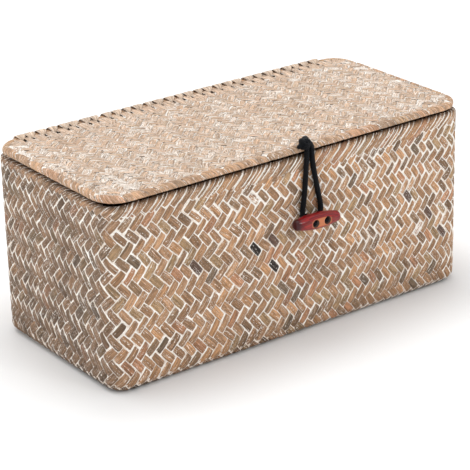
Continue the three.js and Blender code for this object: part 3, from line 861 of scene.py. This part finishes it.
lid_lining_floats = plain_sheet(lid_outline, 12, lid_lining_foot, 10.5, underside=True)
lid_lining = leaf_piece("lid_lining_plait", [lid_lining_floats], lining_finish)
lid_lining_ground = swept_piece("lid_lining_ground", lid_outline,
                                [(-lid_lining_in, lid_lining_foot + ground_sunk),
                                 (-lid_lining_in, lid_lining_foot + leaf_sheet)], lining_ground_finish)
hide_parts("lid_lining")
for piece in (lid_lining, lid_lining_ground):
    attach(piece, "lid")


# Hinge. One long flat strip of leaf is wound round the lid's back roll and through the back wall
# under the rim's roll, turn after turn, with its ends tucked inside.

lace_axis_y = box_width / 2 - lid_roll
lace_reach = 4.6
lace_height = rim_height - rim_roll
lace_tuck = 9


def smooth_path(points, steps):
    """Points of a smooth curve through the given ones, with the same number of steps in each span:
    half of 2b + (c - a) t + (2a - 5b + 4c - d) t² + (3b - a - 3c + d) t³ between b and c."""
    points = np.asarray(points, float)
    points = np.concatenate([[2 * points[0] - points[1]], points, [2 * points[-1] - points[-2]]])
    where = np.linspace(0, len(points) - 3, steps * (len(points) - 3) + 1)
    span = np.minimum(where.astype(int), len(points) - 4)
    t = (where - span)[:, None]
    a, b, c, d = (points[span + k] for k in range(4))
    return 0.5 * (2 * b + (c - a) * t + (2 * a - 5 * b + 4 * c - d) * t ** 2
                  + (3 * b - a - 3 * c + d) * t ** 3)


def swept(path, half_wide, half_thick, sides, wide_way):
    """A rounded section carried along a path: at each point half_wide cos + half_thick sin, across
    the path, the wide way as near as it can be to wide_way. Returns points and faces, both ends shut,
    each ring's distance along the path and each point's angle round the section."""
    path = np.asarray(path, float)
    ahead = np.gradient(path, axis=0)
    ahead /= np.linalg.norm(ahead, axis=1, keepdims=True)
    wide = wide_way - ahead * np.sum(wide_way * ahead, axis=1, keepdims=True)
    wide /= np.linalg.norm(wide, axis=1, keepdims=True)
    thick = np.cross(ahead, wide)
    angle = 2 * math.pi * np.arange(sides) / sides
    shrink = np.ones(len(path))
    shrink[[0, -1]] = 0.7
    half_wide = np.broadcast_to(half_wide, (len(path),))[:, None, None]
    ring = (half_wide * np.cos(angle)[:, None] * wide[:, None] + half_thick * np.sin(angle)[:, None]
            * thick[:, None]) * shrink[:, None, None]
    along = np.concatenate([[0], np.cumsum(np.linalg.norm(np.diff(path, axis=0), axis=1))])
    turned = np.broadcast_to(angle, (len(path), sides))
    return (path[:, None] + ring).reshape(-1, 3), ring_faces(len(path), sides), along, turned


def lace_path():
    """Points of the winding, each with the strip's width there. Each turn goes up inside, round the top
    of the lid's roll, down the back, round under the rim's roll and back through the wall. It is folded
    narrow where it passes through a slot."""
    top = np.radians(np.linspace(180, 0, 9))
    foot = np.radians(np.linspace(0, -150, 7))
    y = lace_axis_y + lace_reach * np.concatenate([np.cos(top), np.cos(foot)])
    z = np.concatenate([lid_roll_height + lace_reach * np.sin(top),
                        lace_height + lace_reach * np.sin(foot)])
    share = np.concatenate([np.linspace(slot_share - 0.02, 0.24, 9), np.linspace(0.34, 0.86, 7)])
    fold = np.concatenate([[0.0, 0.1, 0.45, 0.85], np.ones(7), [0.85, 0.6, 0.3, 0.1, 0.0]])
    turn = np.arange(lace_turns)[:, None]
    x = -lace_span / 2 + lace_pitch * (turn + share) + lace_shift[:, None]
    narrow = lace_narrow + 0.8 * chance.random((lace_turns, 1)) ** 2
    wide = lace_wide - 2.4 * chance.random((lace_turns, 1)) ** 2
    width = narrow + (wide - narrow) * fold
    turns = np.stack(np.broadcast_arrays(x, y, z, width), axis=-1).reshape(-1, 4)
    inside = lace_axis_y - lace_reach - 0.4
    first = [(turns[0, 0], inside, lace_height - lace_tuck, lace_narrow),
             (turns[0, 0], inside, lace_height, lace_narrow)]
    last = [(turns[-1, 0] + 1, inside, lace_height - 3, lace_narrow),
            (turns[-1, 0] + 1.5, inside, lace_height - lace_tuck, lace_narrow)]
    return np.concatenate([first, turns, last])


lace_sides = 10
lace_way = smooth_path(lace_path(), 3)
lace_points, lace_faces, lace_along, lace_angle = swept(
    lace_way[:, :3], lace_way[:, 3] / 2, lace_thick / 2, lace_sides, (1, 0, 0))
lace_across = lace_wide / 2 * (1 + np.cos(lace_angle))
lacing = new_piece("hinge_lace", lace_points, lace_faces, leaf_finish("lace leaf", line=0.05, spread=0.4))
strip_marks(
    lacing,
    np.stack([np.repeat(lace_along, lace_sides), lace_across.ravel()], axis=1),
    np.tile([lace_along[-1], lace_wide, 0.37], (len(lace_points), 1)),
    np.tile([*linear(204, 180, 158), 0.28], (len(lace_points), 1)))
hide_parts("hinge_lacing")
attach(lacing, "box")


# Toggle. A turned hardwood bar with rounded ends, planed flat in front so that the wood shows
# through the red lacquer near its two counterbored holes.

toggle_length = 38
toggle_belly = 5.6
toggle_end = 3.9
toggle_round = 2.6
toggle_flat = 4.7
toggle_middle = np.array([7.9, -81.9, 86.8])
toggle_x, toggle_y, toggle_z = toggle_middle.tolist()
toggle_shift = 1.1
toggle_tilt = math.radians(3)
toggle_holes = 4.95
hole_radius = 1.7
counterbore_radius = 2.8
counterbore_depth = 3.6
bore_sides = 40


def bored(piece, cutters):
    """Cuts round holes along Y in a piece, each given by its middle, radius and half length."""
    angle = 2 * math.pi * np.arange(bore_sides) / bore_sides
    circle = np.stack([np.cos(angle), 0 * angle, np.sin(angle)], axis=-1)
    for middle, radius, half in cutters:
        rings = np.stack([middle + radius * circle + [0, side * half, 0] for side in (1, -1)])
        cutter = new_piece("cutter", rings.reshape(-1, 3), ring_faces(2, bore_sides),
                           piece.data.materials[0])
        bore = piece.modifiers.new("bore", "BOOLEAN")
        bore.object = cutter
        cut = bpy.data.meshes.new_from_object(piece.evaluated_get(bpy.context.evaluated_depsgraph_get()))
        piece.modifiers.clear()
        piece.data = cut
        bpy.data.objects.remove(cutter)


toggle_finish, tree, shader = new_finish("red lacquer", 0.3, {
    "Specular IOR Level": 0.15, "Coat Weight": 0.45, "Coat Roughness": 0.08})
x, y, z = parts(node(tree, "TexCoord", output=3))
aside = x - toggle_x * metre
beside = z - toggle_z * metre
forward = y * -1.0
past_hole = aside.maths("ABSOLUTE") - toggle_holes * metre
grain = noise(vector(x * 0.08, y, z), 1400, 4, 0.6)
worn_edge = distance(past_hole.maths("MAXIMUM", 0.0), beside) + (grain * 0.003 - 0.0015)
front_of = toggle_flat - toggle_y
front = fade(forward, (front_of - 0.4) * metre, (front_of - 0.05) * metre)
wood_share = front * fade(worn_edge, 0.0022, 0.0042, 0.85, 0.06)
lacquer = mixed(fade(grain, 0.35, 0.7), linear(92, 6, 12), linear(156, 20, 24))
# Painted shade: the bar's left end is darkened to nearly black.
lacquer = mixed(fade(aside, -0.0185, -0.0145, 0.9, 0.0), lacquer, linear(44, 8, 12))
painted = mixed(wood_share, lacquer, linear(196, 118, 72))
# Inside the counterbores the colour is dark brown: bare wood, darkened with painted shade.
in_bore = fade(distance(past_hole, beside), (counterbore_radius + 0.02) * metre,
               (counterbore_radius + 0.12) * metre, 1.0, 0.0)
below_face = fade(forward, (front_of - 0.35) * metre, (front_of - 0.15) * metre, 1.0, 0.0)
dress(shader, mixed(in_bore * below_face, painted, linear(74, 46, 32)), grain, 0.0001, 0.5)

end_angle = np.linspace(0, math.pi / 2, 9)
cap_x = toggle_length / 2 - toggle_round * (1 - np.sin(end_angle))
cap_r = toggle_end - toggle_round * (1 - np.cos(end_angle))
belly_x = np.linspace(-toggle_length / 2 + toggle_round, toggle_length / 2 - toggle_round, 27)
belly_r = toggle_end + (toggle_belly - toggle_end) * (1 - (belly_x / belly_x[-1]) ** 2)
turn_x = np.concatenate([-cap_x[::-1], belly_x[1:-1], cap_x])
turn_r = np.concatenate([cap_r[::-1], belly_r[1:-1], cap_r])
turn_angle = 2 * math.pi * np.arange(72) / 72
bar = np.stack([turn_x[:, None] + 0 * turn_angle, turn_r[:, None] * np.cos(turn_angle),
                turn_r[:, None] * np.sin(turn_angle)], axis=-1)
bar[..., 1] = np.maximum(bar[..., 1], -toggle_flat)
bar = bar @ np.array(Matrix.Rotation(toggle_tilt, 3, "Y")).T + toggle_middle - [toggle_shift, 0, 0]
toggle = new_piece("toggle", bar.reshape(-1, 3), ring_faces(*bar.shape[:2]), toggle_finish)
holes = [toggle_middle + [side * toggle_holes, 0, 0] for side in (-1, 1)]
bored(toggle, [(hole, hole_radius, 9) for hole in holes]
      + [(hole - [0, toggle_flat, 0], counterbore_radius, counterbore_depth) for hole in holes])
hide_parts("toggle_button")
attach(toggle, "toggle")


# Cords. Waxed black cord makes the loop, the knot on the lid with its short end, and the stopper
# knot underneath; a thinner thread holds the toggle through the wall.

cord_radius = 1.8
cord_sides = 14
loop_y = -72.1
loop_route = [(x, loop_y, z) for x, z in (
    (6.9, 134.3), (6.8, 128.4), (6.2, 120.9), (5.5, 112.5), (4.7, 104), (3.7, 96.5), (2.9, 92.3),
    (2.7, 89), (3.5, 86.8), (5.1, 84.8), (7.6, 83.4), (10.6, 83), (13.6, 83.5), (16.1, 85.1),
    (17.8, 87.4), (18.4, 90.3), (18.1, 93.7), (16.9, 99.3), (15.1, 107.8), (13.3, 116.2),
    (11.9, 124.2), (11.3, 129.8), (11.1, 134.3))]

cord_finish, tree, shader = new_finish("waxed cord", 0.6, {
    "Sheen Weight": 0.02, "Specular IOR Level": 0.15, "Sheen Tint": (*linear(120, 140, 190), 1)})
lay = node(tree, "UVMap", uv_map="lay")
along, across, _ = parts(lay)
plies = [(along * 4.2 + across * (3.333 * way)).maths("SINE") for way in (1.0, -1.0)]
braid = plies[0].maths("MAXIMUM", plies[1])
fuzz = noise(lay, 3.0, 3, 0.7)
sheen = fade(braid * 0.25 + fuzz, 0.35, 0.85)
dress(shader, mixed(sheen, linear(4, 5, 6), linear(11, 13, 18)), braid + fuzz, 0.00025, 0.9)


def corded(name, tubes):
    """One piece of cord from paths in millimetres, each with its radius and the way its seam faces."""
    points, faces, lays, first = [], [], [], 0
    for path, radius, way in tubes:
        ring, made, along, turned = swept(path, radius, radius, cord_sides, way)
        faces += [[corner + first for corner in face] for face in made]
        points.append(ring)
        lays.append(np.stack([np.repeat(along, cord_sides), (turned * cord_radius).ravel()], axis=1))
        first += len(ring)
    piece = new_piece(name, np.concatenate(points), faces, cord_finish)
    uv_marks(piece, "lay", np.concatenate(lays))
    return piece


def overhand(middle, size, radius, turned, flat=1.0):
    """A pulled-tight knot: the path (sin t + 2 sin 2t, cos t - 2 cos 2t, -1.5 sin 3t), which crosses
    itself three times, at a size, turned about two axes, and flattened upright by a factor."""
    t = np.linspace(0, 2 * math.pi, 97)
    path = np.stack([np.sin(t) + 2 * np.sin(2 * t), np.cos(t) - 2 * np.cos(2 * t),
                     -1.5 * np.sin(3 * t)], axis=1)
    turn = np.array(Matrix.Rotation(turned[0], 3, "X") @ Matrix.Rotation(turned[1], 3, "Z"))
    path = path * size @ turn.T * [1, 1, flat]
    return np.asarray(middle) + path, radius, path + [0, 0, 0.01]


loop_path = smooth_path(loop_route, 8)
loop = corded("loop_cord", [(loop_path, cord_radius, (0, 1, 0))])
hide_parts("cord_loop")
(loop_path * metre).tolist()
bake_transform(loop, "lid", "loop", start=(0.009, -0.0721, 0.1343), end=(0.009, -0.0721, 0.128))

anchor_x, anchor_y = 14, -59.6
lid_knot = corded("lid_knot_cord", [
    overhand((4.6, -72.6, 139.3), 0.96, 2.1, (math.radians(62), 1.55), flat=0.7),
    (smooth_path([(6.9, -72.1, 133.9), (6.8, -72.2, 135.8), (6.2, -72.6, 138), (4.8, -73, 139.8)], 4),
     cord_radius, (0, 1, 0)),
    (smooth_path([(11.1, -72.1, 133.9), (10.8, -72.2, 136), (9.2, -72.8, 138.3), (7, -73.2, 139.8),
                  (4.6, -73, 140)], 4), cord_radius, (0, 1, 0)),
    (smooth_path([(4.6, -72.6, 139), (7.6, -69.6, 138.5), (11, -66.4, 138.3), (13.2, -63.4, 138.2),
                  (anchor_x, -61, 137.4), (anchor_x, -59.8, 135.8), (anchor_x, anchor_y, 134),
                  (anchor_x, anchor_y, 131.4)], 4),
     cord_radius, (1, 0, 0)),
    (smooth_path([(4.6, -72.6, 139.6), (1.2, -73.2, 138.8), (-1.8, -73.4, 138.1)], 4), 1.4, (0, 1, 0)),
])
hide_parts("lid_knot")
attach(lid_knot, "lid")

under_knot = corded("under_knot_cord", [
    overhand((anchor_x, anchor_y, 127.7), 0.8, 1.3, (0.2, 0.3)),
    ([(anchor_x, anchor_y, z) for z in (131.4, 130.2, 128.5, 127)], cord_radius * 0.95, (1, 0, 0)),
])
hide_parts("under_knot")
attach(under_knot, "lid")

thread_radius = 0.9
stem_radius = 1.2
stem_join_y = -66.7
fork_y = -75.1
bead_y = toggle_y - toggle_flat + counterbore_depth - 0.3 - 2
legs = []
for side in (-1, 1):
    x = toggle_x + side * toggle_holes
    route = [(toggle_x, fork_y), (toggle_x + side * 2.4, fork_y), (x - side * 0.9, fork_y - 0.15),
             (x, fork_y - 1.2), (x, fork_y - 4), (x, bead_y)]
    legs.append((smooth_path([(*place, toggle_z) for place in route], 5), thread_radius, (0, 0, 1)))
    legs.append(overhand((x, bead_y + 0.3, toggle_z), 0.36, 0.75, (math.pi / 2, 0.4 * side)))
stem = [(toggle_x, y, toggle_z) for y in np.linspace(fork_y - 0.5, stem_join_y, 10)]
thread = corded("toggle_thread_cord", legs + [(stem, stem_radius, (0, 0, 1))])
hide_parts("toggle_thread")
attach(thread, "toggle")

end_stem = [(toggle_x, y, toggle_z) for y in np.linspace(stem_join_y, -63.4, 4)]
thread_knot = corded("thread_knot_cord", [
    overhand((toggle_x, -63.6, toggle_z), 0.68, 1.0, (math.pi / 2, 0.2)),
    (end_stem, stem_radius, (0, 0, 1)),
])
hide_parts("thread_knot")
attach(thread_knot, "toggle")


# Floor to stand on: a flat sheet of white paper, with a soft shadow painted into it, darker close
# to the box, and the lamps' own soft shadow on it as well.

floor_reach = 3000

floor_finish, tree, shader = new_finish("white paper", 0.9, {"Specular IOR Level": 0.0})
x, y, _ = parts(node(tree, "TexCoord", output=3))
past_edge = [(place.maths("ABSOLUTE") - half * metre).maths("MAXIMUM", 0.0)
             for place, half in ((x, box_length / 2), (y, box_width / 2))]
# Painted shadow: the paper's colour darkens close to the box.
out_of_painted_shadow = fade(distance(*past_edge), -0.02, 0.085)
dress(shader, mixed(out_of_painted_shadow, (0.76, 0.75, 0.745), (0.95, 0.95, 0.95)))
paper = new_piece("paper", floor_reach * np.array([(-1, -1, 0), (1, -1, 0), (1, 1, 0), (-1, 1, 0)]),
                  [(0, 1, 2, 3)], floor_finish, smooth=False)


# Light: a wide soft sky, a large lamp high above and a little behind, and a small sharp one in front
# on the right, which the lacquer reflects.

scene = bpy.context.scene
scene.view_settings.view_transform = "Standard"
sky = bpy.data.worlds.new("sky")
scene.world = sky
sky.use_nodes = True
tree = sky.node_tree
tree.nodes.clear()
to_camera, glossy, through = (node(tree, "LightPath", output=ray) for ray in (0, 3, 6))
seen = to_camera.maths("MAXIMUM", glossy.maths("MAXIMUM", through))
soft_light = node(tree, "Background", {"Color": (0.97, 0.985, 1, 1), "Strength": 1.04})
white_backdrop = node(tree, "Background", {"Color": (1, 1, 1, 1), "Strength": 1.0})
sky_mix = node(tree, "MixShader", {0: seen, 1: soft_light, 2: white_backdrop})
tree.links.new(sky_mix.socket, tree.nodes.new("ShaderNodeOutputWorld").inputs[0])

for name, energy, width, source in (("window light", 0.84, 36, (-0.1, 0.3, 1.0)),
                                    ("glint", 0.2, 6, (0.28, -0.68, 0.6))):
    lamp = bpy.data.objects.new(name, bpy.data.lights.new(name, "SUN"))
    lamp.data.energy = energy
    lamp.data.angle = math.radians(width)
    lamp.data.color = (1.0, 0.985, 0.96)
    lamp.rotation_mode = "QUATERNION"
    lamp.rotation_quaternion = Vector(source).to_track_quat("Z", "Y")
    bpy.context.collection.objects.link(lamp)
